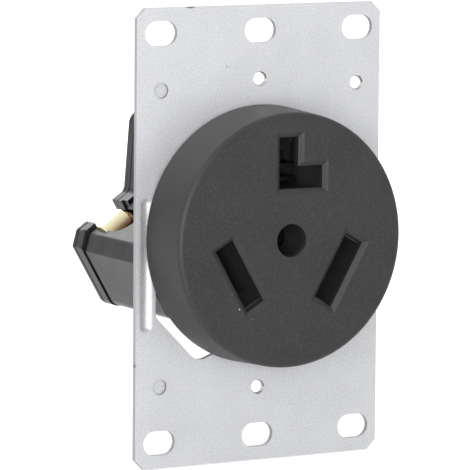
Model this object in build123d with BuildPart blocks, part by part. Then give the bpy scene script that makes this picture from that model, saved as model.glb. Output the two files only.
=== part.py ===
from build123d import *
from dataclasses import dataclass
from math import cos, radians, sin, sqrt
import os

# Three prong dryer outlet, flush mounted, in millimetres.
# +X is right and +Z up as seen from the front, and the face looks along -Y.
# The origin is on the face's axis, in the front plane of the mounting strap.
# Each of the housing's three arms is a lobe: s runs along it from the axis, and n across it.

# Strap: pressed galvanised sheet
strap_width = 57.15
strap_height = 93.7
strap_thickness = 1.1
strap_corner = 2.0
box_slot_length = 7.3
box_slot_width = 5.0
box_slot_across = 23.02
box_slot_up = 41.67
plate_hole_up = 31.75
plate_hole_radius = 1.5
side_hole = (23.0, 30.16)
dimple_radius = 1.6
dimple_depth = 0.5
dimple_wall = 0.1
bead_length = 27.6
bead_width = 2.6
bead_depth = 0.55
bead_place = (26.5, -5.1)

# Window of the strap, behind the face: half widths and heights
window_half_width = 24.0
window_shoulder = 6.0
window_hip = -15.7
window_top = (13.0, 22.0)
window_foot = (14.25, -25.65)
window_bottom = (7.0, -22.9)

# Rounds of the window's corners, from the top corner to the bottom one
window_rounds = [2.0, 2.0, 2.0, 3.2, 2.0]

# Face: round moulded front with draft on its side
face_radius = 26.55
face_front_radius = 25.95
face_depth = 13.2
face_base_chamfer = 0.6
face_rim_round = 1.1
face_wall = 2.3
spigot_radius = 20.0
centre_hole_radius = 3.4
centre_hole_depth = 10.5
slot_bevel_in = 1.0
slot_bevel_deep = 0.8

# Straight slots, one in each lower lobe: along the lobe, then across it
line_slot_middle = 13.4
line_slot_width = 4.4
line_slot_length = 14.7

# L-shaped slot: the inner opening, in X and Z
neutral_left = -2.55
neutral_leg_right = 1.8
neutral_right = 7.5
neutral_bottom = 10.4
neutral_leg_top = 14.95
neutral_top = 20.95

# Rear body and its cover, outlined at the flange
rear_depth = 29.7
cover_thickness = 1.7
cover_rear_chamfer = 0.3
cover_rebate_width = 0.35
cover_rebate_depth = 0.5
flange_thickness = 2.6
groove_width = 0.9
neutral_flange_front = 23.4
neutral_groove_width = 0.7
neutral_line = (26.85, 27.15)
rear_top = 23.7
rear_top_half = 14.22
rear_bottom = -16.95
rear_flank_slope = 0.08
lobe_end = 26.15
lobe_half_end = 12.4
lobe_corner = 36.17
contact_floor = 13.0

# Rounds of the outline's corners, from the top corner to the bottom one
outline_rounds = [3.2, 1.8, 1.2, 0.4, 2.8]

# How far the flanks, then the ends, stand inside the flange's outline
flange_inset = (0.0, 0.0)
wall_inset = (0.7, 0.2)
groove_inset = (1.3, 0.8)
line_inset = (0.45, 0.45)
cavity_inset = (2.2, 1.7)

# Contact pockets and terminal chambers: lowest and highest s, then lowest and highest n
line_pocket = (10.7, 16.1, -6.9, 6.9)
line_chamber = (9.9, 27.0, -7.6, 14.0)
neutral_pocket = (10.0, 21.1, -3.2, 7.8)
neutral_chamber = (9.3, 24.0, -5.0, 14.0)

# Wire entries: round-bottomed notches in the side of each lobe, open to the rear
entry_middle = 17.1
entry_radius = 4.15
entry_bottom_centre = 18.2
entry_rear_radius = 3.7
entry_from_across = 10.0
entry_reach = 6.0

# Contacts: folded brass strip
strip = 0.9
blade_gap = 1.8
leaf_half_width = 5.5
leaf_front = -3.0
leaf_flare = 0.45
leaf_flare_length = 2.0
neutral_leaf_top = 20.3
neutral_leaf_right = 7.0
line_base = (-7.5, 9.6)
neutral_base = (-3.9, 9.6)

# Steel clips round the contacts
spring_strip = 0.6
spring_front = 0.5
spring_depth = 9.0
line_spring_end = 4.0
neutral_spring_gap = 0.6

# Terminals: a brass barrel on the tail of each contact
barrel_radius = 4.0
barrel_across = 9.6
barrel_deep = 21.9
barrel_from = 15.8
barrel_to = 21.15
barrel_flat = 24.4
barrel_chamfer = 0.2
tail_ring_radius = 2.6
tail_half_width = 2.2
rivet_radius = 1.7
rivet_head_radius = 2.3
rivet_head_height = 0.7
neutral_terminal_shift = -0.8

# Clamp plates and terminal screws
clamp_thickness = 1.2
clamp_half_width = 2.1
clamp_half_length = 3.2
clamp_round = 0.5
screw_along = 18.0
screw_across = 9.0
screw_radius = 1.7
screw_hole_depth = 5.0
screw_head_radius = 2.4
screw_head_height = 1.8
screw_head_round = 0.4
screw_slot_width = 0.8
screw_slot_depth = 1.0

# Screws that hold the outlet together
centre_screw_radius = 1.9
centre_head_radius = 2.9
centre_head_height = 2.4
centre_head_round = 0.6
centre_recess = (3.6, 0.8, 1.3)
centre_washer_radius = 3.1
centre_washer_thickness = 0.6
centre_nut_width = 7.0
centre_nut_front = 18.0
centre_nut_height = 3.2
centre_screw_proud = 1.0
cover_screw_radius = 1.4
cover_head_radius = 2.7
cover_screw_front = 18.0
cover_recess = (2.8, 0.7, 0.9)
cover_screw_places = [(-8.4, 4.9), (8.4, 4.9), (0.0, -11.5)]

free_play = 0.2
hole_end = 0.4

# Depths and places worked out from the sizes above
bead_radius = (bead_width**2 / 4 + bead_depth**2) / (2 * bead_depth)
bead_end = (bead_length - bead_width) / 2
cover_front = rear_depth - cover_thickness
flange_front = cover_front - flange_thickness
groove_front = flange_front - groove_width
pocket_front = face_wall - face_depth
leaf_outer = blade_gap / 2 + strip
neutral_leg_middle = (neutral_left + neutral_leg_right) / 2
neutral_bar_middle = (neutral_bottom + neutral_leg_top) / 2
washer_rear = centre_hole_depth - face_depth
head_rear = washer_rear - centre_washer_thickness


def depth(y):
    """Sketch plane across the outlet at a depth, with X to the right and Z up."""
    return Plane.XZ.offset(-y)


@dataclass(frozen=True)
class Lobe:
    """One of the three arms of the housing: along it is s, across it n, and the depth is y."""

    angle: float
    side: int
    pocket: tuple
    chamber: tuple
    shift: float = 0.0

    def along(self):
        return Vector(cos(radians(self.angle)), 0, sin(radians(self.angle)))

    def across(self):
        return Vector(sin(radians(self.angle)), 0, -cos(radians(self.angle))) * self.side

    def place(self, s, n):
        """A place in the lobe as X and Z."""
        spot = self.along() * s + self.across() * n
        return (spot.X, spot.Z)

    def section(self, y):
        """Plane at a depth, with local x along the lobe and local y across it."""
        return Plane(origin=(0, y, 0), x_dir=self.along(), z_dir=(0, self.side, 0))

    def end_on(self, s):
        """Plane across the lobe, with local x across it and local y to the rear."""
        return Plane(origin=self.along() * s, x_dir=self.across(), z_dir=self.along() * self.side)

    def side_on(self, n):
        """Plane along the lobe, with local x along it and local y to the rear."""
        return Plane(origin=self.across() * n, x_dir=self.along(), z_dir=self.across() * -self.side)


neutral = Lobe(90, 1, neutral_pocket, neutral_chamber, neutral_terminal_shift)
line_left = Lobe(210, 1, line_pocket, line_chamber)
line_right = Lobe(330, -1, line_pocket, line_chamber)
lobes = (neutral, line_left, line_right)


def housing_outline(side_inset, end_inset):
    """The three-lobed outline of the rear housing, with its flanks and its ends moved in."""
    end = lobe_end - end_inset
    bottom = rear_bottom + end_inset
    corner = lobe_corner - sqrt(2) * side_inset
    top_corner = (side_inset - rear_top_half - rear_flank_slope * end_inset, rear_top - end_inset)
    upper_flank = Axis((*top_corner, 0), (-rear_flank_slope, -1, 0))
    lower_flank = Axis(
        (*line_left.place(lobe_end, lobe_half_end - side_inset), 0),
        (*line_left.place(-1, rear_flank_slope), 0),
    )
    corner_facet = Axis((*line_left.place(corner, 0), 0), (*line_left.place(-1, 1), 0))
    end_foot = (bottom + end * sin(radians(30))) / cos(radians(30))
    with BuildSketch(Plane.XY, mode=Mode.PRIVATE) as outline:
        with BuildLine():
            FilletPolyline(
                (0, rear_top - end_inset),
                top_corner,
                upper_flank.intersect(lower_flank),
                lower_flank.intersect(corner_facet),
                line_left.place(end, corner - end),
                line_left.place(end, end_foot),
                (0, bottom),
                radius=outline_rounds,
            )
            mirror(about=Plane.YZ)
        make_face()
    return outline.sketch


def neutral_outline(side_inset, end_inset):
    """The part of the housing's outline that lies above the wire entries of the lines."""
    with BuildSketch(Plane.XY, mode=Mode.PRIVATE) as outline:
        with BuildLine():
            Polyline(
                line_left.place(entry_middle, entry_from_across),
                line_left.place(entry_middle, lobe_corner),
                line_right.place(entry_middle, lobe_corner),
                line_right.place(entry_middle, entry_from_across),
                close=True,
            )
        make_face()
        add(housing_outline(side_inset, end_inset), mode=Mode.INTERSECT)
    return outline.sketch


def neutral_slot_outline(grow):
    """The L-shaped opening in X and Z, larger all round by an amount."""
    with BuildSketch(Plane.XY, mode=Mode.PRIVATE) as outline:
        with BuildLine():
            Polyline(
                (neutral_left - grow, neutral_bottom - grow),
                (neutral_right + grow, neutral_bottom - grow),
                (neutral_right + grow, neutral_leg_top + grow),
                (neutral_leg_right + grow, neutral_leg_top + grow),
                (neutral_leg_right + grow, neutral_top + grow),
                (neutral_left - grow, neutral_top + grow),
                close=True,
            )
        make_face()
    return outline.sketch


def box_between(low_x, high_x, low_y, high_y, mode=Mode.ADD):
    """Draw a rectangle between two corners in the sketch that is open."""
    with Locations(((low_x + high_x) / 2, (low_y + high_y) / 2)):
        Rectangle(high_x - low_x, high_y - low_y, mode=mode)


# Mounting strap, with its window and holes, and a bead pressed inward along each side
with BuildPart() as mounting_strap:
    with BuildSketch(depth(0)) as strap_sheet:
        Rectangle(strap_width, strap_height)
        chamfer(strap_sheet.vertices(), strap_corner)
        with BuildSketch(mode=Mode.SUBTRACT):
            with BuildLine():
                FilletPolyline(
                    (0, window_top[1]),
                    (-window_top[0], window_top[1]),
                    (-window_half_width, window_shoulder),
                    (-window_half_width, window_hip),
                    (-window_foot[0], window_foot[1]),
                    (-window_bottom[0], window_bottom[1]),
                    (0, window_bottom[1]),
                    radius=window_rounds,
                )
                mirror(about=Plane.YZ)
            make_face()
        with GridLocations(box_slot_across, 2 * box_slot_up, 3, 2):
            SlotOverall(box_slot_length, box_slot_width, mode=Mode.SUBTRACT)
        with Locations((0, plate_hole_up), (0, -plate_hole_up), side_hole):
            Circle(plate_hole_radius, mode=Mode.SUBTRACT)
    extrude(amount=-strap_thickness)
    for side in (-1, 1):
        with Locations((side * bead_place[0], bead_depth - bead_radius, bead_place[1])):
            Cylinder(bead_radius, bead_length - bead_width, mode=Mode.SUBTRACT)
            with Locations((0, 0, bead_end), (0, 0, -bead_end)):
                Sphere(bead_radius, mode=Mode.SUBTRACT)
    dimple_places = Locations((-side_hole[0], side_hole[1]), (-side_hole[0], -side_hole[1]))
    with BuildSketch(depth(0)):
        with dimple_places:
            Circle(dimple_radius)
    extrude(amount=-dimple_depth, mode=Mode.SUBTRACT)
    with BuildSketch(depth(strap_thickness)):
        with dimple_places:
            Circle(dimple_radius - dimple_wall)
    extrude(amount=dimple_wall - dimple_depth)

# Face, with bevelled slots that open into the contact pockets
with BuildPart() as face_body:
    with BuildSketch(Plane.XY):
        with BuildLine():
            Polyline(
                (0, 0),
                (face_radius - face_base_chamfer, 0),
                (face_radius, -face_base_chamfer),
                (face_front_radius, -face_depth),
                (0, -face_depth),
                close=True,
            )
        make_face()
    revolve(axis=Axis.Y)
    fillet(face_body.faces().sort_by(Axis.Y)[0].edges(), face_rim_round)
    with BuildSketch(depth(0)):
        Circle(spigot_radius)
    extrude(amount=-strap_thickness)
    for lobe in lobes:
        with BuildSketch(lobe.section(pocket_front)):
            box_between(*lobe.pocket)
        extrude(amount=lobe.side * (strap_thickness - pocket_front), mode=Mode.SUBTRACT)
    with BuildSketch(depth(-face_depth)):
        add(neutral_slot_outline(0))
    extrude(amount=-face_wall, mode=Mode.SUBTRACT)
    with BuildSketch(depth(-face_depth)):
        add(neutral_slot_outline(slot_bevel_in))
    with BuildSketch(depth(slot_bevel_deep - face_depth)):
        add(neutral_slot_outline(0))
    loft(mode=Mode.SUBTRACT)
    for lobe in (line_left, line_right):
        with BuildSketch(lobe.section(-face_depth)):
            with Locations((line_slot_middle, 0)):
                Rectangle(line_slot_width, line_slot_length)
        extrude(amount=lobe.side * face_wall, mode=Mode.SUBTRACT)
        with BuildSketch(lobe.section(-face_depth)):
            with Locations((line_slot_middle, 0)):
                Rectangle(line_slot_width + 2 * slot_bevel_in, line_slot_length + 2 * slot_bevel_in)
        with BuildSketch(lobe.section(slot_bevel_deep - face_depth)):
            with Locations((line_slot_middle, 0)):
                Rectangle(line_slot_width, line_slot_length)
        loft(mode=Mode.SUBTRACT)
    with BuildSketch(depth(-face_depth)):
        Circle(centre_hole_radius)
    extrude(amount=-centre_hole_depth, mode=Mode.SUBTRACT)
    with BuildSketch(depth(-face_depth)):
        Circle(centre_screw_radius + free_play)
    extrude(amount=-(face_depth + strap_thickness), mode=Mode.SUBTRACT)

# Rear body: walls, a groove and a flange that is deeper round the neutral lobe, and in each
# lobe a contact pocket, a terminal chamber open to the rear and a wire entry
with BuildPart() as rear_body:
    for front, rear, inset in (
        (strap_thickness, groove_front, wall_inset),
        (groove_front, flange_front, groove_inset),
        (flange_front, cover_front, flange_inset),
    ):
        with BuildSketch(depth(front)):
            add(housing_outline(*inset))
        extrude(amount=front - rear)
    with BuildSketch(depth(neutral_flange_front)):
        add(neutral_outline(*flange_inset))
    extrude(amount=neutral_flange_front - flange_front)
    with BuildSketch(depth(neutral_flange_front - neutral_groove_width)):
        add(neutral_outline(*flange_inset))
        add(housing_outline(*groove_inset), mode=Mode.SUBTRACT)
    extrude(amount=-neutral_groove_width, mode=Mode.SUBTRACT)
    with BuildSketch(depth(neutral_line[0])):
        add(neutral_outline(*flange_inset))
        add(housing_outline(*line_inset), mode=Mode.SUBTRACT)
    extrude(amount=neutral_line[0] - neutral_line[1], mode=Mode.SUBTRACT)
    for lobe in lobes:
        with BuildSketch(lobe.section(strap_thickness)):
            box_between(*lobe.pocket)
        extrude(amount=lobe.side * (contact_floor - strap_thickness), mode=Mode.SUBTRACT)
        low_s, high_s, low_n, high_n = lobe.chamber
        with BuildSketch(depth(contact_floor)):
            with BuildLine():
                Polyline(
                    lobe.place(low_s, low_n),
                    lobe.place(high_s, low_n),
                    lobe.place(high_s, high_n),
                    lobe.place(low_s, high_n),
                    close=True,
                )
            make_face()
            add(housing_outline(*cavity_inset), mode=Mode.INTERSECT)
        extrude(amount=contact_floor - cover_front, mode=Mode.SUBTRACT)
        entry_s = entry_middle + lobe.shift
        with BuildSketch(lobe.side_on(entry_from_across)):
            with Locations((entry_s, entry_bottom_centre)):
                Circle(entry_radius)
            box_between(
                entry_s - entry_radius, entry_s + entry_radius, entry_bottom_centre, flange_front
            )
            box_between(
                entry_s - entry_rear_radius, entry_s + entry_rear_radius, flange_front, cover_front
            )
        extrude(amount=-lobe.side * entry_reach, mode=Mode.SUBTRACT)
    with BuildSketch(depth(strap_thickness)):
        Circle(centre_screw_radius + free_play)
    extrude(amount=strap_thickness - centre_nut_front, mode=Mode.SUBTRACT)
    with BuildSketch(depth(cover_front)):
        RegularPolygon(centre_nut_width / 2 + free_play / 2, 6, major_radius=False)
    extrude(amount=cover_front - centre_nut_front, mode=Mode.SUBTRACT)
    with BuildSketch(depth(cover_front)):
        with Locations(cover_screw_places):
            Circle(cover_screw_radius)
    extrude(amount=cover_front - cover_screw_front, mode=Mode.SUBTRACT)

# Rear cover: a thin plate with a notch behind each wire entry and countersunk screw holes
with BuildPart() as rear_cover:
    with BuildSketch(depth(cover_front)):
        add(housing_outline(*flange_inset))
    extrude(amount=-cover_thickness)
    chamfer(rear_cover.faces().sort_by(Axis.Y)[-1].edges(), cover_rear_chamfer)
    with BuildSketch(depth(cover_front)):
        add(housing_outline(*flange_inset))
        add(housing_outline(cover_rebate_depth, cover_rebate_depth), mode=Mode.SUBTRACT)
        add(neutral_outline(*flange_inset), mode=Mode.SUBTRACT)
    extrude(amount=-cover_rebate_width, mode=Mode.SUBTRACT)
    for lobe in lobes:
        entry_s = entry_middle + lobe.shift
        with BuildSketch(lobe.section(cover_front)):
            with Locations((entry_s, screw_across)):
                Circle(entry_rear_radius)
            box_between(
                entry_s - entry_rear_radius,
                entry_s + entry_rear_radius,
                screw_across,
                entry_from_across + entry_reach,
            )
        extrude(amount=lobe.side * cover_thickness, mode=Mode.SUBTRACT)
    with BuildSketch(depth(rear_depth)):
        with Locations(cover_screw_places):
            Circle(cover_head_radius)
    extrude(amount=cover_head_radius - cover_screw_radius, taper=45, mode=Mode.SUBTRACT)
    with BuildSketch(depth(rear_depth)):
        with Locations(cover_screw_places):
            Circle(cover_screw_radius)
    extrude(amount=cover_thickness, mode=Mode.SUBTRACT)

pieces = {
    "mounting_strap": mounting_strap,
    "face_body": face_body,
    "rear_body": rear_body,
    "rear_cover": rear_cover,
}


def contact_tail(lobe):
    """The strip from a contact's base to its ring, which is riveted to the barrel."""
    ring_front = barrel_deep - sqrt(tail_ring_radius**2 - tail_half_width**2)
    with BuildPart(mode=Mode.PRIVATE) as tail:
        with BuildSketch(lobe.end_on(barrel_from + lobe.shift)):
            with Locations((barrel_across, barrel_deep)):
                Circle(tail_ring_radius)
            box_between(
                barrel_across - 2 * tail_half_width,
                barrel_across,
                contact_floor,
                ring_front + tail_half_width,
            )
            with Locations((barrel_across, barrel_deep)):
                Circle(rivet_radius, mode=Mode.SUBTRACT)
        extrude(amount=-lobe.side * strip)
    return tail.part


# Contacts of the two lines: two leaves that pinch the blade, joined by a base,
# with a steel clip round them
for lobe, hand in ((line_left, "left"), (line_right, "right")):
    with BuildPart() as line_contact:
        with BuildSketch(lobe.side_on(0)):
            for side in (-1, 1):
                inner = line_slot_middle + side * blade_gap / 2
                outer = inner + side * strip
                with BuildLine():
                    Polyline(
                        (inner, contact_floor + strip),
                        (inner, leaf_front + leaf_flare_length),
                        (inner + side * leaf_flare, leaf_front),
                        (outer + side * leaf_flare, leaf_front),
                        (outer, leaf_front + leaf_flare_length),
                        (outer, contact_floor + strip),
                        close=True,
                    )
                make_face()
        extrude(amount=leaf_half_width, both=True)
        with BuildSketch(lobe.section(contact_floor)):
            box_between(line_slot_middle - leaf_outer, line_slot_middle + leaf_outer, *line_base)
        extrude(amount=lobe.side * strip)
        add(contact_tail(lobe))
    with BuildPart() as line_spring:
        with BuildSketch(lobe.section(spring_front)):
            box_between(
                line_slot_middle - leaf_outer - spring_strip,
                line_slot_middle + leaf_outer + spring_strip,
                -leaf_half_width - spring_strip,
                line_spring_end,
            )
            with Locations((line_slot_middle, 0)):
                Rectangle(2 * leaf_outer, 2 * leaf_half_width, mode=Mode.SUBTRACT)
        extrude(amount=lobe.side * spring_depth)
    pieces[f"line_contact_{hand}"] = line_contact
    pieces[f"line_spring_{hand}"] = line_spring

# Contact of the neutral: two L-shaped leaves, one inside the other, joined by a base
with BuildPart() as neutral_contact:
    with BuildSketch(depth(leaf_front)):
        for side in (-1, 1):
            leg_near = neutral_leg_middle + side * blade_gap / 2
            bar_near = neutral_bar_middle + side * blade_gap / 2
            leg_far = leg_near + side * strip
            bar_far = bar_near + side * strip
            with BuildLine():
                Polyline(
                    (leg_near, neutral_leaf_top),
                    (leg_near, bar_near),
                    (neutral_leaf_right, bar_near),
                    (neutral_leaf_right, bar_far),
                    (leg_far, bar_far),
                    (leg_far, neutral_leaf_top),
                    close=True,
                )
            make_face()
    extrude(amount=leaf_front - contact_floor)
    with BuildSketch(depth(contact_floor)):
        box_between(*neutral_base, neutral_bar_middle - leaf_outer, neutral_leaf_top)
    extrude(amount=-strip)
    add(contact_tail(neutral))

with BuildPart() as neutral_spring:
    with BuildSketch(depth(spring_front)):
        box_between(
            neutral_leg_middle - leaf_outer - spring_strip,
            neutral_leg_middle + leaf_outer + spring_strip,
            neutral_bar_middle + leaf_outer + neutral_spring_gap,
            neutral_leaf_top + spring_strip,
        )
        box_between(
            neutral_leg_middle - leaf_outer,
            neutral_leg_middle + leaf_outer,
            neutral_bar_middle,
            neutral_leaf_top,
            mode=Mode.SUBTRACT,
        )
    extrude(amount=-spring_depth)

pieces["neutral_contact"] = neutral_contact
pieces["neutral_spring"] = neutral_spring

# Terminal of each lobe: a barrel with its rivet, a clamp plate and a screw
for lobe, pole, hand in (
    (neutral, "neutral", ""),
    (line_left, "line", "_left"),
    (line_right, "line", "_right"),
):
    barrel_s = barrel_from + lobe.shift
    screw_place = (screw_along + lobe.shift, screw_across)
    with BuildPart() as terminal:
        with BuildSketch(lobe.end_on(barrel_s)):
            with Locations((barrel_across, barrel_deep)):
                Circle(barrel_radius)
            with Locations((barrel_across, barrel_flat + barrel_radius)):
                Rectangle(2 * barrel_radius, 2 * barrel_radius, mode=Mode.SUBTRACT)
        extrude(amount=lobe.side * (barrel_to - barrel_from))
        chamfer(terminal.edges().filter_by(GeomType.CIRCLE), barrel_chamfer)
        with BuildSketch(lobe.end_on(barrel_s)):
            with Locations((barrel_across, barrel_deep)):
                Circle(rivet_radius)
        extrude(amount=-lobe.side * strip)
        with BuildSketch(lobe.end_on(barrel_s - strip)):
            with Locations((barrel_across, barrel_deep)):
                Circle(rivet_head_radius)
        extrude(amount=-lobe.side * rivet_head_height, taper=25)
        with BuildSketch(lobe.section(barrel_flat)):
            with Locations(screw_place):
                Circle(screw_radius)
        extrude(amount=-lobe.side * screw_hole_depth, mode=Mode.SUBTRACT)
    with BuildPart() as clamp:
        with BuildSketch(lobe.section(barrel_flat)):
            with Locations(screw_place):
                RectangleRounded(2 * clamp_half_width, 2 * clamp_half_length, clamp_round)
                Circle(screw_radius + free_play / 2, mode=Mode.SUBTRACT)
        extrude(amount=lobe.side * clamp_thickness)
    screw_head_front = barrel_flat + clamp_thickness
    with BuildPart() as screw:
        with BuildSketch(lobe.section(screw_head_front)):
            with Locations(screw_place):
                Circle(screw_head_radius)
        extrude(amount=lobe.side * screw_head_height)
        fillet(screw.faces().sort_by(Axis.Y)[-1].edges(), screw_head_round)
        with BuildSketch(lobe.section(screw_head_front + screw_head_height)):
            with Locations(screw_place):
                Rectangle(screw_slot_width, 3 * screw_head_radius)
        extrude(amount=-lobe.side * screw_slot_depth, mode=Mode.SUBTRACT)
        with BuildSketch(lobe.section(screw_head_front)):
            with Locations(screw_place):
                Circle(screw_radius)
        extrude(amount=-lobe.side * (clamp_thickness + screw_hole_depth - hole_end))
    pieces[f"{pole}_terminal{hand}"] = terminal
    pieces[f"{pole}_clamp{hand}"] = clamp
    pieces[f"{pole}_screw{hand}"] = screw

# Centre screw, with its washer under the head and its nut in the rear body
with BuildPart() as centre_washer:
    with BuildSketch(depth(head_rear)):
        Circle(centre_washer_radius)
        Circle(centre_screw_radius, mode=Mode.SUBTRACT)
    extrude(amount=-centre_washer_thickness)

with BuildPart() as centre_screw:
    with BuildSketch(depth(head_rear)):
        Circle(centre_head_radius)
    extrude(amount=centre_head_height)
    fillet(centre_screw.faces().sort_by(Axis.Y)[0].edges(), centre_head_round)
    recess_length, recess_width, recess_depth = centre_recess
    with BuildSketch(depth(head_rear - centre_head_height)):
        Rectangle(recess_length, recess_width)
        Rectangle(recess_width, recess_length)
    extrude(amount=-recess_depth, mode=Mode.SUBTRACT)
    with BuildSketch(depth(head_rear)):
        Circle(centre_screw_radius)
    extrude(amount=head_rear - centre_nut_front - centre_nut_height - centre_screw_proud)

with BuildPart() as centre_nut:
    with BuildSketch(depth(centre_nut_front)):
        RegularPolygon(centre_nut_width / 2, 6, major_radius=False)
        Circle(centre_screw_radius, mode=Mode.SUBTRACT)
    extrude(amount=-centre_nut_height)

# Countersunk screws that hold the rear cover
with BuildPart() as cover_screws:
    with BuildSketch(depth(rear_depth)):
        with Locations(cover_screw_places):
            Circle(cover_head_radius)
    extrude(amount=cover_head_radius - cover_screw_radius, taper=45)
    with BuildSketch(depth(rear_depth)):
        with Locations(cover_screw_places):
            Circle(cover_screw_radius)
    extrude(amount=rear_depth - cover_screw_front - hole_end)
    recess_length, recess_width, recess_depth = cover_recess
    with BuildSketch(depth(rear_depth)):
        with Locations(cover_screw_places):
            Rectangle(recess_length, recess_width)
            Rectangle(recess_width, recess_length)
    extrude(amount=recess_depth, mode=Mode.SUBTRACT)

pieces["centre_washer"] = centre_washer
pieces["centre_screw"] = centre_screw
pieces["centre_nut"] = centre_nut
pieces["cover_screws"] = cover_screws

os.makedirs("parts", exist_ok=True)
for name, piece in pieces.items():
    piece.part.label = name
    export_step(piece.part, f"parts/{name}.step")
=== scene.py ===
"""The looks of a flush mounted three prong dryer outlet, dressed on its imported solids."""

import logging
import math
from dataclasses import dataclass, field
from enum import Enum
from typing import Iterable, Optional

import bmesh
import bpy
from mathutils import Matrix, Vector


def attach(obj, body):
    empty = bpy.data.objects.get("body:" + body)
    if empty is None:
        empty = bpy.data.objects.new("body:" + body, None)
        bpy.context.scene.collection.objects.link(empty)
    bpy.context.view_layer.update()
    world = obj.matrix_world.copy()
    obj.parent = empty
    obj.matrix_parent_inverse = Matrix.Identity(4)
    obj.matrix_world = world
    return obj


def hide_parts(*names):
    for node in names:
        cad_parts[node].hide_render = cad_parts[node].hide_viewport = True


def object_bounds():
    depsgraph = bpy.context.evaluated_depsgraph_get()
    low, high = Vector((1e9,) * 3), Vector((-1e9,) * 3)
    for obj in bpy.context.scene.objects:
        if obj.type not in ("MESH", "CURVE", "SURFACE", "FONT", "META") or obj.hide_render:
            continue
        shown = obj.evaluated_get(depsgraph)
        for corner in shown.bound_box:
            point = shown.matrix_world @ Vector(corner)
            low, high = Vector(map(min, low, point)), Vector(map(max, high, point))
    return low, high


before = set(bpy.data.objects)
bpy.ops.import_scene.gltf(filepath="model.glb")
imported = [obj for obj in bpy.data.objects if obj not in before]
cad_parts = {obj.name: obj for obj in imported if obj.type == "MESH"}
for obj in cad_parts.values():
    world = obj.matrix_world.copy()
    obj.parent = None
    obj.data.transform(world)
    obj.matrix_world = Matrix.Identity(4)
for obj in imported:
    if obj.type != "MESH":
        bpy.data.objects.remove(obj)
cad_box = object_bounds()

logging.basicConfig(level=logging.INFO, format="%(message)s")
log = logging.getLogger("dryer_outlet")

MM = 0.001

Colour = tuple[float, float, float]
Triple = tuple[float, float, float]
Pair = tuple[float, float]
Socket = bpy.types.NodeSocket

RISING: Pair = (0.0, 1.0)
FALLING: Pair = (1.0, 0.0)
# The middle of a noise field, where nearly all its values lie.
FIELD_MIDDLE: Pair = (0.35, 0.65)
WIDE_MIDDLE: Pair = (0.3, 0.7)

# Degrees of turn at which an edge is rounded, is a right angle, and is shaded smooth.
SHARP_TURN = 28.0
SQUARE_TURN = 60.0
SMOOTH_BELOW = 35.0
# How many facets make a small round.
ROUND_SEGMENTS = 2


class Slot(Enum):
    """The record's material slots."""

    STRAP = "galvanised_steel"
    FACE = "face_plastic"
    HOUSING = "housing_plastic"
    CONTACT = "contact_brass"
    SPRING = "spring_steel"
    TERMINAL = "terminal_brass"
    CLAMP = "clamp_steel"
    SCREW = "screw_steel"


def grey(level: float) -> Colour:
    """Returns a neutral colour of this level."""
    return (level, level, level)


def direction(azimuth: float, elevation: float) -> Vector:
    """The way from the object to a place around it.

    Args:
        azimuth: The turn to the right of the object's front, in degrees.
        elevation: The rise in degrees.

    Returns:
        The unit vector.
    """
    a, e = math.radians(azimuth), math.radians(elevation)
    return Vector((math.sin(a) * math.cos(e), -math.cos(a) * math.cos(e), math.sin(e)))


def set_range(node: bpy.types.Node, source: Pair, target: Pair) -> None:
    """Set the ends of a map range node.

    Args:
        node: The node.
        source: The low and high end that it comes from.
        target: The low and high end that it goes to.
    """
    names = ("From Min", "From Max", "To Min", "To Max")
    for name, number in zip(names, (*source, *target)):
        node.inputs[name].default_value = number


@dataclass(frozen=True)
class Mark:
    """A place with its own colour.

    Attributes:
        centre: Its middle in millimetres.
        reach: Its half size along X, Y and Z in millimetres.
        colour: Its colour.
        fade_from: The share of its reach at which it starts to fade.
    """

    centre: Triple
    reach: Triple
    colour: Colour
    fade_from: float = 0.5


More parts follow.
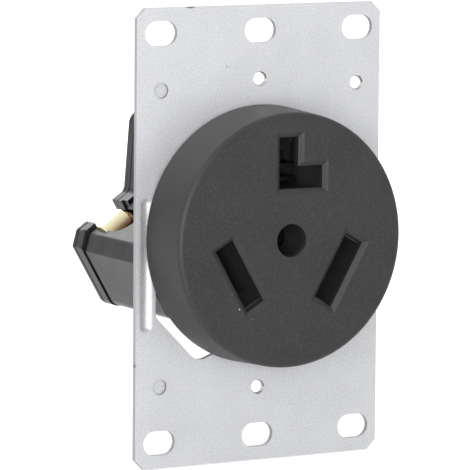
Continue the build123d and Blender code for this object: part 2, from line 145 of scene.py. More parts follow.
class FinishGraph:
    """The node tree of one finish, on Object coordinates."""

    def __init__(self, name: str) -> None:
        """Start a material with an empty Principled surface.

        Args:
            name: The material's name.
        """
        self.material = bpy.data.materials.new(name)
        self.material.use_nodes = True
        self.tree = self.material.node_tree
        self.tree.nodes.clear()
        output = self.tree.nodes.new("ShaderNodeOutputMaterial")
        self.shader = self.tree.nodes.new("ShaderNodeBsdfPrincipled")
        self.tree.links.new(self.shader.outputs["BSDF"], output.inputs["Surface"])
        self.place: Socket = self.tree.nodes.new("ShaderNodeTexCoord").outputs["Object"]

    def feed(self, socket: Socket, value: Socket | float | Iterable[float]) -> None:
        """Join a socket to another one, or set its own value.

        Args:
            socket: The input to fill.
            value: An output socket, a number, or a colour or vector.
        """
        if isinstance(value, bpy.types.NodeSocket):
            self.tree.links.new(value, socket)
        else:
            socket.default_value = value

    def finish(self, colour: Socket, roughness: Socket, normal: Socket) -> None:
        """Feed the surface.

        Args:
            colour: Its base colour.
            roughness: Its roughness.
            normal: Its normal.
        """
        self.feed(self.shader.inputs["Base Color"], colour)
        self.feed(self.shader.inputs["Roughness"], roughness)
        self.feed(self.shader.inputs["Normal"], normal)

    def stretch(self, scale: Triple) -> Socket:
        """The place on the object, stretched along each axis.

        Args:
            scale: The factors along X, Y and Z.

        Returns:
            The stretched coordinates.
        """
        node = self.tree.nodes.new("ShaderNodeMapping")
        self.feed(node.inputs["Vector"], self.place)
        node.inputs["Scale"].default_value = scale
        return node.outputs["Vector"]

    def noise(self, per_metre: float, detail: float, place: Optional[Socket] = None) -> Socket:
        """A soft random field between 0 and 1.

        Args:
            per_metre: How many features there are to a metre.
            detail: How many finer layers are added.
            place: The coordinates, if not the object's own.

        Returns:
            The field's value.
        """
        node = self.tree.nodes.new("ShaderNodeTexNoise")
        self.feed(node.inputs["Vector"], place or self.place)
        node.inputs["Scale"].default_value = per_metre
        node.inputs["Detail"].default_value = detail
        return node.outputs["Fac"]

    def crystals(self, per_metre: float) -> Socket:
        """A random grey for each cell of a crystal-like pattern.

        Args:
            per_metre: How many crystals there are to a metre.

        Returns:
            The grey, between 0 and 1.
        """
        node = self.tree.nodes.new("ShaderNodeTexVoronoi")
        self.feed(node.inputs["Vector"], self.place)
        node.inputs["Scale"].default_value = per_metre
        split = self.tree.nodes.new("ShaderNodeSeparateColor")
        self.feed(split.inputs["Color"], node.outputs["Color"])
        return split.outputs["Red"]

    def ranged(self, value: Socket, source: Pair, target: Pair) -> Socket:
        """A value moved from one range to another, and held inside it.

        Args:
            value: The value to move.
            source: The low and high end that it comes from.
            target: The low and high end that it goes to.

        Returns:
            The new value.
        """
        node = self.tree.nodes.new("ShaderNodeMapRange")
        self.feed(node.inputs["Value"], value)
        set_range(node, source, target)
        return node.outputs["Result"]

    def mixed(self, share: Socket, low: Socket | Colour, high: Socket | Colour) -> Socket:
        """A colour between two others.

        Args:
            share: 0 for the low colour and 1 for the high one.
            low: The colour at 0.
            high: The colour at 1.

        Returns:
            The mixed colour.
        """
        node = self.tree.nodes.new("ShaderNodeMix")
        node.data_type = "RGBA"
        self.feed(node.inputs["Factor"], share)
        for name, colour in (("A_Color", low), ("B_Color", high)):
            socket = next(s for s in node.inputs if s.identifier == name)
            joined = isinstance(colour, bpy.types.NodeSocket)
            self.feed(socket, colour if joined else (*colour, 1.0))
        return next(s for s in node.outputs if s.identifier == "Result_Color")

    def normal_part(self, axis: str) -> Socket:
        """One part of the surface normal on the object.

        Args:
            axis: The letter of the axis.

        Returns:
            The part along it.
        """
        split = self.tree.nodes.new("ShaderNodeSeparateXYZ")
        normal = self.tree.nodes.new("ShaderNodeTexCoord").outputs["Normal"]
        self.feed(split.inputs["Vector"], normal)
        return split.outputs[axis]

    def turned_away(self, source: Pair) -> Socket:
        """A mask that is 1 where the surface looks along the sheet, and 0 on its faces.

        Args:
            source: The lengths of the normal's Y part at which the mask is 1 and 0.

        Returns:
            The mask.
        """
        size = self.tree.nodes.new("ShaderNodeMath")
        size.operation = "ABSOLUTE"
        self.feed(size.inputs[0], self.normal_part("Y"))
        return self.ranged(size.outputs["Value"], source, FALLING)

    def looking_up(self, source: Pair) -> Socket:
        """A mask that grows from 0 to 1 as the surface looks further up.

        Args:
            source: The normal's Z part at which the mask is 0 and 1.

        Returns:
            The mask.
        """
        return self.ranged(self.normal_part("Z"), source, RISING)

    def depth(self, source: Pair, target: Pair) -> Socket:
        """A mask that changes with the depth behind the strap's front.

        Args:
            source: The two depths in millimetres.
            target: The mask at each of them.

        Returns:
            The mask.
        """
        split = self.tree.nodes.new("ShaderNodeSeparateXYZ")
        self.feed(split.inputs["Vector"], self.place)
        return self.ranged(split.outputs["Y"], (source[0] * MM, source[1] * MM), target)

    def both(self, first: Socket, second: Socket) -> Socket:
        """A mask that is 1 only where two others are.

        Args:
            first: The one mask.
            second: The other mask.

        Returns:
            Their product.
        """
        node = self.tree.nodes.new("ShaderNodeMath")
        node.operation = "MULTIPLY"
        self.feed(node.inputs[0], first)
        self.feed(node.inputs[1], second)
        return node.outputs["Value"]

    def spot(self, mark: Mark) -> Socket:
        """A mask that is 1 at a mark and fades to 0 at its edge.

        Args:
            mark: The mark's place and reach.

        Returns:
            The mask.
        """
        away = self.tree.nodes.new("ShaderNodeVectorMath")
        away.operation = "SUBTRACT"
        self.feed(away.inputs[0], self.place)
        away.inputs[1].default_value = [c * MM for c in mark.centre]
        scaled = self.tree.nodes.new("ShaderNodeVectorMath")
        scaled.operation = "DIVIDE"
        self.feed(scaled.inputs[0], away.outputs["Vector"])
        scaled.inputs[1].default_value = [r * MM for r in mark.reach]
        length = self.tree.nodes.new("ShaderNodeVectorMath")
        length.operation = "LENGTH"
        self.feed(length.inputs[0], scaled.outputs["Vector"])
        return self.ranged(length.outputs["Value"], (mark.fade_from, 1.0), FALLING)

    def marked(self, colour: Socket, marks: Iterable[Mark]) -> Socket:
        """A colour with marks on it.

        Args:
            colour: The colour below them.
            marks: The marks, from the lowest to the uppermost.

        Returns:
            The marked colour.
        """
        for mark in marks:
            colour = self.mixed(self.spot(mark), colour, mark.colour)
        return colour

    def bump(self, height: Socket, depth: float, normal: Optional[Socket] = None) -> Socket:
        """A surface normal that follows a height.

        Args:
            height: The height, between 0 and 1.
            depth: The depth in millimetres that a height of 1 stands for.
            normal: A normal from a coarser bump, if there is one.

        Returns:
            The new normal.
        """
        node = self.tree.nodes.new("ShaderNodeBump")
        self.feed(node.inputs["Height"], height)
        node.inputs["Distance"].default_value = depth * MM
        if normal is not None:
            self.feed(node.inputs["Normal"], normal)
        return node.outputs["Normal"]


@dataclass(frozen=True)
class GalvanisedFinish:
    """Zinc coated sheet: a faint crystal pattern, rolling lines and a few handling marks. Its
    sides and the rims of its openings carry painted shade.
    """

    light: Colour = (0.70, 0.705, 0.728)
    dark: Colour = (0.66, 0.665, 0.688)
    # Painted shade on the sheet's sides and rounds; the dark grain specks take this grey too.
    speck_and_side_shade: Colour = (0.38, 0.385, 0.40)
    # Painted shade in the bores and around the slots.
    bore_shade: Colour = (0.16, 0.16, 0.17)
    slot_rim_shade: Colour = (0.33, 0.335, 0.35)
    metallic: float = 0.3
    roughness: Pair = (0.38, 0.50)
    clouds_per_metre: float = 120.0
    cloud_detail: float = 4.0
    crystals_per_metre: float = 230.0
    crystal_share: float = 0.22
    rolling_per_metre: float = 900.0
    rolling_detail: float = 4.0
    rolling_stretch: Triple = (1.0, 1.0, 0.04)
    rolling_depth: float = 0.006
    grain_per_metre: float = 2600.0
    grain_detail: float = 2.0
    grain_share: float = 0.34
    grain_depth: float = 0.004
    # The normal's Y part for the painted shade on the sides, and for the painted shade on the
    # whole rim of an opening.
    side_shade_turn: Pair = (0.15, 0.60)
    rim_turn: Pair = (0.55, 0.98)
    marks: tuple[Mark, ...] = (
        Mark((-16.37, 0.0, 46.75), (1.3, 1.2, 0.22), grey(0.10)),
        Mark((-28.6, 0.5, -25.5), (0.3, 0.9, 0.5), grey(0.20)),
        Mark((-7.9, 0.0, 34.5), (0.16, 0.5, 0.22), grey(0.14)),
        Mark((-7.2, 0.0, 34.3), (0.2, 0.5, 0.14), grey(0.32)),
    )
    bores: tuple[Triple, ...] = (
        (0.0, 0.5, 31.75),
        (0.0, 0.5, -31.75),
        (23.0, 0.5, 30.16),
        (-23.0, 0.5, 30.16),
        (-23.0, 0.5, -30.16),
    )
    bore_reach: Triple = (1.95, 1.95, 1.95)
    slots: tuple[Triple, ...] = tuple(
        (x, 0.5, z) for x in (-23.02, 0.0, 23.02) for z in (-41.67, 41.67)
    )
    slot_reach: Triple = (4.5, 3.0, 3.4)
    opening_fade: float = 0.9

    def build(self) -> bpy.types.Material:
        """Returns the zinc coated material."""
        graph = FinishGraph(Slot.STRAP.value)
        cells = graph.crystals(self.crystals_per_metre)
        cloud = graph.noise(self.clouds_per_metre, self.cloud_detail)
        clouds = graph.ranged(cloud, FIELD_MIDDLE, RISING)
        colour = graph.mixed(clouds, self.dark, self.light)
        crystals = graph.ranged(cells, RISING, (0.0, self.crystal_share))
        colour = graph.mixed(crystals, colour, self.light)
        stretched = graph.stretch(self.rolling_stretch)
        rolling = graph.noise(self.rolling_per_metre, self.rolling_detail, stretched)
        grain = graph.noise(self.grain_per_metre, self.grain_detail)
        grains = graph.ranged(grain, FIELD_MIDDLE, (self.grain_share, 0.0))
        colour = graph.mixed(grains, colour, self.speck_and_side_shade)
        # Painted shade on the sheet's sides and on the slopes of its rounds.
        colour = graph.mixed(graph.turned_away(self.side_shade_turn), colour, self.speck_and_side_shade)
        # Painted shade on the walls and rims of the bores and slots.
        rims = graph.turned_away(self.rim_turn)
        for opening in self.openings():
            colour = graph.mixed(graph.both(rims, graph.spot(opening)), colour, opening.colour)
        colour = graph.marked(colour, self.marks)
        normal = graph.bump(rolling, self.rolling_depth)
        normal = graph.bump(grain, self.grain_depth, normal)
        graph.finish(colour, graph.ranged(rolling, WIDE_MIDDLE, self.roughness), normal)
        graph.shader.inputs["Metallic"].default_value = self.metallic
        return graph.material

    def openings(self) -> list[Mark]:
        """Returns the painted shade on the rims of the bores and the slots."""
        bores = [Mark(p, self.bore_reach, self.bore_shade, self.opening_fade) for p in self.bores]
        slots = [Mark(p, self.slot_reach, self.slot_rim_shade, self.opening_fade) for p in self.slots]
        return bores + slots


@dataclass(frozen=True)
class MouldedFinish:
    """Black moulded plastic, with a fine grain, a slow waviness and small marks.

    The walls inside an opening have their own colour, and deeper down another one, painted light.
    Slanted edges are lighter with wear and a painted highlight, and what looks up carries painted
    light.
    """

    slot: Slot
    dark: Colour
    light: Colour
    roughness: Pair
    specular: float
    grain_per_metre: float
    grain_depth: float
    wave_per_metre: float
    wave_depth: float
    clouds_per_metre: float = 90.0
    cloud_detail: float = 2.0
    grain_detail: float = 3.0
    wave_detail: float = 1.0
    fleck: Colour = grey(0.06)
    fleck_share: float = 0.0
    fleck_band: Pair = (0.50, 0.72)
    marks: tuple[Mark, ...] = ()
    # The places inside, and the depths over which their two colours grow; the deeper one is
    # painted light.
    inside: Optional[Mark] = None
    inside_from: Pair = (-12.9, -11.9)
    deeper: Optional[Colour] = None
    deeper_from: Pair = (-10.5, -5.0)
    # The normal's Y part at which the lighter edges start and end, and their share in the grain:
    # wear, with a painted highlight.
    edge: Optional[Colour] = None
    edge_start: Pair = (0.45, 0.15)
    edge_end: Pair = (0.80, 0.97)
    edge_share: Pair = (0.4, 1.0)
    # The normal's Z and Y parts between which the painted light on what looks up starts.
    painted_top_light: Optional[Colour] = None
    top_light_rise: Pair = (0.35, 0.75)
    top_light_turn: Pair = (0.3, 0.6)

    def build(self) -> bpy.types.Material:
        """Returns the plastic material."""
        graph = FinishGraph(self.slot.value)
        cloud = graph.noise(self.clouds_per_metre, self.cloud_detail)
        grain = graph.noise(self.grain_per_metre, self.grain_detail)
        wave = graph.noise(self.wave_per_metre, self.wave_detail)
        clouds = graph.ranged(cloud, FIELD_MIDDLE, RISING)
        colour = graph.mixed(clouds, self.dark, self.light)
        flecks = graph.ranged(grain, self.fleck_band, (0.0, self.fleck_share))
        colour = graph.mixed(flecks, colour, self.fleck)
        # Slanted edges are lighter: wear, and a painted highlight.
        if self.edge is not None:
            slant = graph.both(
                graph.turned_away(self.edge_start), graph.turned_away(self.edge_end)
            )
            wear_and_highlight = graph.both(slant, graph.ranged(grain, FIELD_MIDDLE, self.edge_share))
            colour = graph.mixed(wear_and_highlight, colour, self.edge)
        colour = graph.marked(colour, self.marks)
        # Painted light on what looks up.
        if self.painted_top_light is not None:
            painted_mask = graph.both(
                graph.looking_up(self.top_light_rise), graph.turned_away(self.top_light_turn)
            )
            colour = graph.mixed(painted_mask, colour, self.painted_top_light)
        if self.inside is not None:
            colour = self.line_openings(graph, colour)
        normal = graph.bump(wave, self.wave_depth)
        normal = graph.bump(grain, self.grain_depth, normal)
        graph.finish(colour, graph.ranged(cloud, WIDE_MIDDLE, self.roughness), normal)
        graph.shader.inputs["Specular IOR Level"].default_value = self.specular
        return graph.material

    def line_openings(self, graph: FinishGraph, colour: Socket) -> Socket:
        """Colour the walls inside the openings; the deeper colour is painted light, and so is the
        housing's lining.

        Args:
            graph: The finish's node tree.
            colour: The colour outside them.

        Returns:
            The colour inside and outside.
        """
        for lining, depths in (
            (self.inside.colour, self.inside_from),
            (self.deeper, self.deeper_from),
        ):
            if lining is not None:
                walls = graph.both(graph.spot(self.inside), graph.depth(depths, RISING))
                colour = graph.mixed(walls, colour, lining)
        return colour


@dataclass(frozen=True)
class MetalFinish:
    """Bare or plated metal, with drawing lines and a thin tarnish.

    A painted shade can cover its front, up to the depths in millimetres between which it ends.
    """

    slot: Slot
    bright: Colour
    tarnish: Colour
    roughness: Pair
    tarnish_per_metre: float = 260.0
    tarnish_detail: float = 5.0
    tarnish_band: Pair = (0.45, 0.75)
    lines_per_metre: float = 2200.0
    line_detail: float = 3.0
    line_stretch: Triple = (1.0, 0.08, 1.0)
    line_depth: float = 0.004
    front_shade: Optional[Colour] = None
    front_shade_ends: Pair = (1.0, 8.0)

    def build(self) -> bpy.types.Material:
        """Returns the metal material."""
        graph = FinishGraph(self.slot.value)
        cloud = graph.noise(self.tarnish_per_metre, self.tarnish_detail)
        stretched = graph.stretch(self.line_stretch)
        lines = graph.noise(self.lines_per_metre, self.line_detail, stretched)
        clouds = graph.ranged(cloud, self.tarnish_band, RISING)
        colour = graph.mixed(clouds, self.bright, self.tarnish)
        # Painted shade on the parts that lie deep in the outlet, by depth.
        if self.front_shade is not None:
            painted_mask = graph.depth(self.front_shade_ends, FALLING)
            colour = graph.mixed(painted_mask, colour, self.front_shade)
        roughness = graph.ranged(lines, WIDE_MIDDLE, self.roughness)
        graph.finish(colour, roughness, graph.bump(lines, self.line_depth))
        graph.shader.inputs["Metallic"].default_value = 1.0
        return graph.material


FINISHES = (
    MouldedFinish(
        Slot.FACE,
        dark=grey(0.021),
        light=grey(0.028),
        roughness=(0.44, 0.52),
        specular=0.36,
        grain_per_metre=2400.0,
        grain_depth=0.03,
        wave_per_metre=70.0,
        wave_depth=0.02,
        fleck=grey(0.09),
        fleck_share=0.24,
        marks=(
            Mark((-12.05, -13.2, -13.27), (0.2, 0.5, 0.2), grey(0.60)),
            Mark((-19.9, -12.1, -14.5), (0.5, 0.8, 0.14), grey(0.12)),
            Mark((-9.0, -13.2, -15.5), (0.2, 0.5, 0.14), grey(0.14)),
            # Painted shade on the right flanks of the L-shaped slot.
            Mark((2.1, -12.5, 17.8), (0.9, 0.8, 4.2), grey(0.018), 0.8),
            Mark((8.0, -12.5, 12.8), (0.9, 0.8, 3.4), grey(0.018), 0.8),
        ),
        inside=Mark((0.0, -6.0, 0.0), (23.5, 200.0, 23.5), grey(0.024), 0.9),
        # Painted light on the walls deep inside the slots.
        deeper=grey(0.054),
        # Lighter slanted edges: wear, and a painted highlight on the rim.
        edge=grey(0.034),
        # Painted light on what looks up.
        painted_top_light=grey(0.064),
    ),
    MouldedFinish(
        Slot.HOUSING,
        dark=grey(0.008),
        light=grey(0.025),
        roughness=(0.22, 0.40),
        specular=0.30,
        grain_per_metre=3000.0,
        grain_depth=0.004,
        wave_per_metre=130.0,
        wave_depth=0.07,
        clouds_per_metre=150.0,
        fleck_share=0.15,
        # Painted light on the walls of the pocket behind the L-shaped slot.
        inside=Mark((2.5, 0.0, 15.5), (8.0, 14.0, 8.0), grey(0.11), 0.9),
    ),
    MetalFinish(
        Slot.CONTACT,
        # The brass is darkened all over as painted shade, for the contacts sit in shade inside
        # the outlet.
        bright=(0.22, 0.12, 0.05),
        tarnish=(0.12, 0.06, 0.025),
        roughness=(0.26, 0.40),
        # Painted shade on the contacts' front, inside the face.
        front_shade=(0.036, 0.032, 0.030),
    ),
    MetalFinish(
        Slot.SPRING,
        bright=(0.34, 0.34, 0.35),
        tarnish=grey(0.20),
        roughness=(0.30, 0.45),
    ),
    MetalFinish(
        Slot.TERMINAL,
        bright=(0.86, 0.80, 0.54),
        tarnish=(0.76, 0.69, 0.40),
        roughness=(0.18, 0.28),
        # Painted shade, brown, on the barrel's front part.
        front_shade=(0.20, 0.10, 0.04),
        front_shade_ends=(18.3, 20.0),
    ),
    MetalFinish(
        Slot.CLAMP,
        bright=(0.58, 0.58, 0.60),
        tarnish=(0.44, 0.44, 0.45),
        roughness=(0.28, 0.42),
    ),
    MetalFinish(
        Slot.SCREW,
        bright=(0.24, 0.24, 0.25),
        tarnish=grey(0.16),
        roughness=(0.28, 0.42),
        # Painted shade on the screw heads at the front, deep in the face's hole.
        front_shade=grey(0.02),
    ),
)
BUILDERS = {Slot.STRAP: GalvanisedFinish(), **{finish.slot: finish for finish in FINISHES}}


def sharp_edges(shape: bmesh.types.BMesh, turn: float = SHARP_TURN) -> list[bmesh.types.BMEdge]:
    """The edges at which a shape turns sharply.

    Args:
        shape: The shape.
        turn: The least turn in degrees.

    Returns:
        The edges.
    """
    limit = math.radians(turn)
    return [e for e in shape.edges if e.is_manifold and e.calc_face_angle(0.0) > limit]


@dataclass
class Bench:
    """Makes finished pieces, with each finish built once.

    Attributes:
        merge_within: How close two points of a solid are merged, in millimetres.
        flat_turn: The degrees of turn under which two facets are one face.
        materials: The finishes that are built.
    """

    merge_within: float = 0.002
    flat_turn: float = 0.4
    materials: dict[Slot, bpy.types.Material] = field(default_factory=dict)

    def material(self, slot: Slot) -> bpy.types.Material:
        """The material of a slot.

        Args:
            slot: The record's slot.

        Returns:
            The material, built at the first call.
        """
        if slot not in self.materials:
            self.materials[slot] = BUILDERS[slot].build()
        return self.materials[slot]

    def dress(self, node: str, slot: Slot) -> None:
        """Give a solid of the frame its finish.

        Args:
            node: The solid's name.
            slot: The slot of its finish.
        """
        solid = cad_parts[node]
        if not solid.material_slots:
            solid.data.materials.append(self.material(slot))
        for material_slot in solid.material_slots:
            material_slot.link = "OBJECT"
            material_slot.material = self.material(slot)
        log.info("%s: dressed in %s", node, slot.value)

    def add(
        self,
        name: str,
        shape: bmesh.types.BMesh,
        slot: Slot,
        smooth_below: float = SMOOTH_BELOW,
    ) -> bpy.types.Object:
        """Turn a finished shape into a piece that rides on the outlet's one body.

        Args:
            name: The piece's name.
            shape: The shape, in metres and in place. It is freed.
            slot: The slot of its finish.
            smooth_below: Edges flatter than this many degrees are shaded smooth.

        Returns:
            The new object.
        """
        mesh = bpy.data.meshes.new(name)
        shape.to_mesh(mesh)
        shape.free()
        mesh.shade_smooth()
        mesh.set_sharp_from_angle(angle=math.radians(smooth_below))
        mesh.materials.append(self.material(slot))
        piece = bpy.data.objects.new(name, mesh)
        bpy.context.scene.collection.objects.link(piece)
        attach(piece, "root")
        log.info("%s: %d faces in %s", name, len(mesh.polygons), slot.value)
        return piece

    def copied(self, node: str) -> bmesh.types.BMesh:
        """A copy of a solid of the frame, with its triangles merged into flat faces.

        Args:
            node: The solid's name.

        Returns:
            The copy.
        """
        shape = bmesh.new()
        shape.from_mesh(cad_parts[node].data)
        bmesh.ops.remove_doubles(shape, verts=shape.verts, dist=self.merge_within * MM)
        bmesh.ops.dissolve_limit(
            shape,
            angle_limit=math.radians(self.flat_turn),
            verts=shape.verts,
            edges=shape.edges,
        )
        return shape

    def rounded(
        self,
        shape: bmesh.types.BMesh,
        edges: list[bmesh.types.BMEdge],
        width: float,
        segments: int = ROUND_SEGMENTS,
    ) -> None:
        """Round some edges of a shape.

        Args:
            shape: The shape.
            edges: The edges to round.
            width: The round's width in millimetres.
            segments: How many facets make the round.
        """
        bmesh.ops.bevel(
            shape,
            geom=edges,
            offset=width * MM,
            offset_type="OFFSET",
            affect="EDGES",
            segments=segments,
            profile=0.5,
            clamp_overlap=True,
            material=-1,
        )

    def stand_in(self, node: str, shape: bmesh.types.BMesh, slot: Slot) -> None:
        """Let a finished shape stand in for a solid of the frame.

        Args:
            node: The solid's name.
            shape: The shape that replaces it.
            slot: The slot of its finish.
        """
        piece = self.add(f"{node}_finished", shape, slot)
        weighted = piece.modifiers.new("weighted_normals", "WEIGHTED_NORMAL")
        weighted.keep_sharp = True
        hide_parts(node)

    def soften(self, node: str, slot: Slot, width: float) -> None:
        """Stand a copy with rounded edges in for a solid of the frame.

        Args:
            node: The solid's name.
            slot: The slot of its finish.
            width: The round's width in millimetres.
        """
        shape = self.copied(node)
        self.rounded(shape, sharp_edges(shape), width)
        self.stand_in(node, shape, slot)


@dataclass
class MountingStrap:
    """The galvanised strap and the threads of its tapped holes, in millimetres."""

    front_round: float = 0.38
    front_segments: int = 3
    back_round: float = 0.15
    thickness: float = 1.1
    # How far a point may lie off a plane or a bead that it belongs to.
    front_slack: float = 0.01
    bead_slack: float = 0.02
    # The beads as the solid has them.
    bead_line: float = 26.5
    bead_middle: float = -5.1
    bead_half_length: float = 13.8
    bead_half_width: float = 1.3
    bead_depth: float = 0.55
    # Where the dressed beads' sides and their deepest line lie.
    bead_outer: float = 27.85
    bead_bottom: float = 26.15
    bead_inner: float = 24.6
    tapped_holes: tuple[Pair, ...] = ((0.0, 31.75), (0.0, -31.75), (23.0, 30.16))
    hole_radius: float = 1.5
    thread_height: float = 0.22
    thread_root: float = 0.05
    thread_pitch: float = 0.5
    thread_share: float = 0.84
    steps_per_turn: int = 36

    def build(self, bench: Bench) -> None:
        """Make the strap's pieces.

        Args:
            bench: The maker of finished pieces.
        """
        shape = bench.copied("mounting_strap")
        self.soften_beads(shape)
        slack = self.front_slack * MM
        front = [e for e in sharp_edges(shape) if all(abs(v.co.y) < slack for v in e.verts)]
        bench.rounded(shape, front, self.front_round, self.front_segments)
        bench.rounded(shape, sharp_edges(shape, SQUARE_TURN), self.back_round)
        bench.stand_in("mounting_strap", shape, Slot.STRAP)
        bench.add("hole_threads", self.threads(), Slot.STRAP, smooth_below=SQUARE_TURN)

    def soften_beads(self, shape: bmesh.types.BMesh) -> None:
        """Give the two pressed beads soft shoulders and a bottom nearer to the face.

        Args:
            shape: The strap's merged copy.
        """
        straight = self.bead_half_length - self.bead_half_width
        near = self.bead_points(shape)
        faces = [f for f in shape.faces if near.issuperset(f.verts)]
        edges = list({e for f in faces for e in f.edges})
        bmesh.ops.subdivide_edges(shape, edges=edges, cuts=1, use_grid_fill=True)
        for vert in self.bead_points(shape):
            off_line = abs(vert.co.x) / MM - self.bead_line
            past = max(0.0, abs(vert.co.z / MM - self.bead_middle) - straight)
            share = min(1.0, math.hypot(off_line, past) / self.bead_half_width)
            vert.co.y = self.bead_depth * (1.0 + math.cos(math.pi * share)) / 2 * MM
            end = self.bead_outer if off_line > 0.0 else self.bead_inner
            side = abs(off_line) / self.bead_half_width
            x = self.bead_bottom + (end - self.bead_bottom) * side
            vert.co.x = math.copysign(x * MM, vert.co.x)

    def bead_points(self, shape: bmesh.types.BMesh) -> set[bmesh.types.BMVert]:
        """The vertices of the two beads.

        Args:
            shape: The strap's merged copy.

        Returns:
            The vertices, those on the beads' rims among them.
        """
        slack = self.bead_slack
        return {
            v
            for v in shape.verts
            if abs(abs(v.co.x) / MM - self.bead_line) < self.bead_half_width + slack
            and abs(v.co.z / MM - self.bead_middle) < self.bead_half_length + slack
            and -slack < v.co.y / MM < self.bead_depth + slack
        }

    def threads(self) -> bmesh.types.BMesh:
        """Returns the thread ridges of all tapped holes."""
        shape = bmesh.new()
        ridge = self.thread_share * self.thread_pitch
        turns = (self.thickness - ridge) / self.thread_pitch
        root = self.hole_radius + self.thread_root
        crest = self.hole_radius - self.thread_height
        corners = ((root, 0.0), (crest, ridge / 2), (root, ridge))
        for x, z in self.tapped_holes:
            profile = shape.faces.new(
                shape.verts.new(((x + r) * MM, y * MM, z * MM)) for r, y in corners
            )
            bmesh.ops.spin(
                shape,
                geom=[profile],
                cent=(x * MM, 0.0, z * MM),
                axis=(0.0, 1.0, 0.0),
                dvec=(0.0, self.thread_pitch * MM / self.steps_per_turn, 0.0),
                angle=math.tau * turns,
                steps=round(self.steps_per_turn * turns),
                use_merge=False,
            )
        bmesh.ops.recalc_face_normals(shape, faces=shape.faces)
        return shape


@dataclass
class MouldedFace:
    """The round face that carries the slots, in millimetres."""

    edge_round: float = 0.16

    def build(self, bench: Bench) -> None:
        """Make the face.

        Args:
            bench: The maker of finished pieces.
        """
        bench.soften("face_body", Slot.FACE, self.edge_round)


@dataclass
class RearHousing:
    """The moulded rear body and its cover, in millimetres."""

    edge_round: float = 0.18

    def build(self, bench: Bench) -> None:
        """Make the two mouldings.

        Args:
            bench: The maker of finished pieces.
        """
        for node in ("rear_body", "rear_cover"):
            bench.soften(node, Slot.HOUSING, self.edge_round)


@dataclass(frozen=True)
class Pole:
    """One pole of the outlet.

    Attributes:
        pattern: Its nodes' names, with a gap for the part.
        turn: The way of its lobe, in degrees from +X towards +Z.
        shift: How much further out its barrel ends, in millimetres.
        mirrored: Whether it is the mirror image of the others.
    """

    pattern: str
    turn: float
    shift: float = 0.0
    mirrored: bool = False

    def node(self, part: str) -> str:
        """Returns the name of one of its parts."""
        return self.pattern.format(part)


POLES = (
    Pole("neutral_{}", 90.0, shift=-0.8),
    Pole("line_{}_left", 210.0),
    Pole("line_{}_right", 330.0, mirrored=True),
)


@dataclass
class Contacts:
    """The folded contacts and their steel clips."""

    poles: tuple[Pole, ...] = POLES

    def build(self, bench: Bench) -> None:
        """Dress each pole's contact and clip.

        Args:
            bench: The maker of finished pieces.
        """
        for pole in self.poles:
            bench.dress(pole.node("contact"), Slot.CONTACT)
            bench.dress(pole.node("spring"), Slot.SPRING)


@dataclass
class Terminals:
    """The barrels, clamp plates and terminal screws, in millimetres."""

    poles: tuple[Pole, ...] = POLES
    edge_round: float = 0.12
    barrel_end: float = 20.55
    longer: float = 0.6
    lower: float = 0.6

    def build(self, bench: Bench) -> None:
        """Dress each pole's terminal, with its barrel reaching a little further into the lobe.

        Args:
            bench: The maker of finished pieces.
        """
        for pole in self.poles:
            turn = math.radians(pole.turn)
            along = Vector((math.cos(turn), 0.0, math.sin(turn)))
            across = Vector((along.z, 0.0, -along.x)) * (-1.0 if pole.mirrored else 1.0)
            shape = bench.copied(pole.node("terminal"))
            for vert in shape.verts:
                if vert.co.dot(along) > (self.barrel_end + pole.shift) * MM:
                    vert.co += (along * self.longer - across * self.lower) * MM
            bench.rounded(shape, sharp_edges(shape), self.edge_round)
            bench.stand_in(pole.node("terminal"), shape, Slot.TERMINAL)
            bench.dress(pole.node("clamp"), Slot.CLAMP)
            bench.dress(pole.node("screw"), Slot.SCREW)


@dataclass
class Fasteners:
    """The screws that hold the outlet together."""

    nodes: tuple[str, ...] = ("centre_screw", "centre_washer", "centre_nut", "cover_screws")

    def build(self, bench: Bench) -> None:
        """Dress each fastener.

        Args:
            bench: The maker of finished pieces.
        """
        for node in self.nodes:
            bench.dress(node, Slot.SCREW)


@dataclass(frozen=True)
class Lamp:
    """A square soft lamp, aimed at the object's middle.

    Attributes:
        name: Its name.
        azimuth: Its turn to the right of the object's front, in degrees.
        elevation: Its rise in degrees.
        distance: Its distance in metres.
        size: Its side in metres.
        level: How bright it makes a white surface that faces it at the object's middle.
    """

    name: str
    azimuth: float
    elevation: float
    distance: float
    size: float
    level: float

    def build(self, middle: Vector) -> None:
        """Hang the lamp.

        Args:
            middle: The place that it is aimed at.
        """
        away = direction(self.azimuth, self.elevation)
        data = bpy.data.lights.new(self.name, "AREA")
        data.shape = "SQUARE"
        data.size = self.size
        data.energy = self.level * math.pi**2 * self.distance**2
        lamp = bpy.data.objects.new(self.name, data)
        lamp.location = middle + away * self.distance
        lamp.rotation_mode = "QUATERNION"
        lamp.rotation_quaternion = away.to_track_quat("Z", "Y")
        lamp.visible_camera = False
        bpy.context.scene.collection.objects.link(lamp)


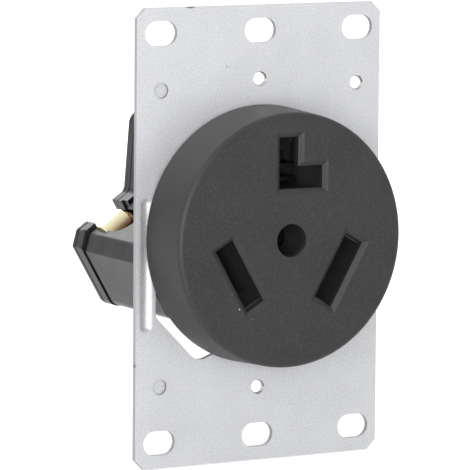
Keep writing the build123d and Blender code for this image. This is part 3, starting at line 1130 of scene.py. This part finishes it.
@dataclass
class Studio:
    """The pale floor, the soft light and the camera.

    Angles are in degrees, the lens and the sensor in millimetres, and the rest in metres.
    """

    azimuth: float = -29.955
    elevation: float = 7.041
    roll: float = 0.451
    distance: float = 0.83298
    target: Triple = (-0.005617, 0.0, -0.000008)
    lens: float = 312.8
    sensor: float = 36.0
    clip: Pair = (0.01, 20.0)
    floor_half: float = 3.0
    floor_gap: float = 0.0002
    floor_colour: Colour = grey(0.90)
    # What the floor glows with where it is seen, near the object and far from it.
    floor_glow: Pair = (0.54, 0.75)
    glow_reach: Pair = (0.12, 0.70)
    ambient: float = 0.41
    lamps: tuple[Lamp, ...] = (
        Lamp("key", -60.0, 24.0, 1.0, 0.8, 0.36),
        Lamp("front", -30.0, -2.0, 0.36, 0.2, 0.60),
        Lamp("fill", 35.0, 10.0, 1.2, 0.8, 0.04),
        Lamp("top", 20.0, 72.0, 1.0, 0.6, 0.09),
        Lamp("back", 170.0, 35.0, 1.2, 0.8, 0.26),
    )

    def build(self) -> None:
        """Set up everything that isn't the object."""
        low, high = cad_box
        self.lay_floor(low.z - self.floor_gap)
        self.light_world()
        for lamp in self.lamps:
            lamp.build((low + high) / 2)
        self.place_camera()
        bpy.context.scene.view_settings.view_transform = "Standard"

    @staticmethod
    def seen(tree: bpy.types.NodeTree) -> Socket:
        """A value of 1 for rays from the camera and for reflected and refracted ones.

        Args:
            tree: The node tree to add to.

        Returns:
            The value.
        """
        path = tree.nodes.new("ShaderNodeLightPath")
        total = path.outputs["Is Camera Ray"]
        for name in ("Is Glossy Ray", "Is Transmission Ray"):
            node = tree.nodes.new("ShaderNodeMath")
            node.operation = "MAXIMUM"
            tree.links.new(total, node.inputs[0])
            tree.links.new(path.outputs[name], node.inputs[1])
            total = node.outputs["Value"]
        return total

    def mix_seen(self, tree: bpy.types.NodeTree, unseen: Socket, seen: Socket, kind: str) -> None:
        """End a node tree with one shader where it is seen and another where it only lights.

        Args:
            tree: The node tree.
            unseen: The shader that only lights.
            seen: The shader that is seen.
            kind: The type of the output node.
        """
        mix = tree.nodes.new("ShaderNodeMixShader")
        output = tree.nodes.new(kind)
        tree.links.new(self.seen(tree), mix.inputs["Fac"])
        tree.links.new(unseen, mix.inputs[1])
        tree.links.new(seen, mix.inputs[2])
        tree.links.new(mix.outputs["Shader"], output.inputs["Surface"])

    def floor_material(self) -> bpy.types.Material:
        """Returns the floor's material: plain, with a glow where it is seen."""
        material = bpy.data.materials.new("floor")
        material.use_nodes = True
        tree = material.node_tree
        tree.nodes.clear()
        plain = tree.nodes.new("ShaderNodeBsdfDiffuse")
        plain.inputs["Color"].default_value = (*self.floor_colour, 1.0)
        place = tree.nodes.new("ShaderNodeTexCoord").outputs["Object"]
        away = tree.nodes.new("ShaderNodeVectorMath")
        away.operation = "LENGTH"
        tree.links.new(place, away.inputs[0])
        growth = tree.nodes.new("ShaderNodeMapRange")
        tree.links.new(away.outputs["Value"], growth.inputs["Value"])
        set_range(growth, self.glow_reach, self.floor_glow)
        glow = tree.nodes.new("ShaderNodeEmission")
        tree.links.new(growth.outputs["Result"], glow.inputs["Strength"])
        lit = tree.nodes.new("ShaderNodeAddShader")
        tree.links.new(plain.outputs["BSDF"], lit.inputs[0])
        tree.links.new(glow.outputs["Emission"], lit.inputs[1])
        self.mix_seen(
            tree, plain.outputs["BSDF"], lit.outputs["Shader"], "ShaderNodeOutputMaterial"
        )
        return material

    def lay_floor(self, height: float) -> None:
        """Lay the floor.

        Args:
            height: Its height in metres.
        """
        shape = bmesh.new()
        bmesh.ops.create_grid(
            shape,
            x_segments=1,
            y_segments=1,
            size=self.floor_half,
            matrix=Matrix.Translation((0.0, 0.0, height)),
        )
        mesh = bpy.data.meshes.new("floor")
        shape.to_mesh(mesh)
        shape.free()
        mesh.materials.append(self.floor_material())
        floor = bpy.data.objects.new("floor", mesh)
        bpy.context.scene.collection.objects.link(floor)

    def light_world(self) -> None:
        """Make the world white where it is seen and softer where it only lights."""
        world = bpy.data.worlds.new("studio")
        world.use_nodes = True
        tree = world.node_tree
        tree.nodes.clear()
        shaders = []
        for strength in (self.ambient, 1.0):
            node = tree.nodes.new("ShaderNodeBackground")
            node.inputs["Color"].default_value = (1.0, 1.0, 1.0, 1.0)
            node.inputs["Strength"].default_value = strength
            shaders.append(node.outputs["Background"])
        self.mix_seen(tree, *shaders, "ShaderNodeOutputWorld")
        bpy.context.scene.world = world

    def place_camera(self) -> None:
        """Set the camera where the photograph was taken from."""
        back = direction(self.azimuth, self.elevation)
        roll = math.radians(self.roll)
        right = (-back).cross(Vector((0.0, 0.0, 1.0))).normalized()
        up = right.cross(-back)
        turned_right = right * math.cos(roll) + up * math.sin(roll)
        turned_up = up * math.cos(roll) - right * math.sin(roll)
        data = bpy.data.cameras.new("camera")
        data.lens = self.lens
        data.sensor_width = self.sensor
        data.clip_start, data.clip_end = self.clip
        camera = bpy.data.objects.new("camera", data)
        place = Matrix.Translation(Vector(self.target) + back * self.distance)
        turn = Matrix((turned_right, turned_up, back)).transposed()
        camera.matrix_world = place @ turn.to_4x4()
        bpy.context.scene.collection.objects.link(camera)
        bpy.context.scene.camera = camera


def main() -> None:
    """Build the outlet's sub-assemblies in order, then the studio."""
    bench = Bench()
    assemblies = (
        MountingStrap(),
        MouldedFace(),
        RearHousing(),
        Contacts(),
        Terminals(),
        Fasteners(),
    )
    for assembly in assemblies:
        assembly.build(bench)
    Studio().build()


if __name__ == "__main__":
    main()
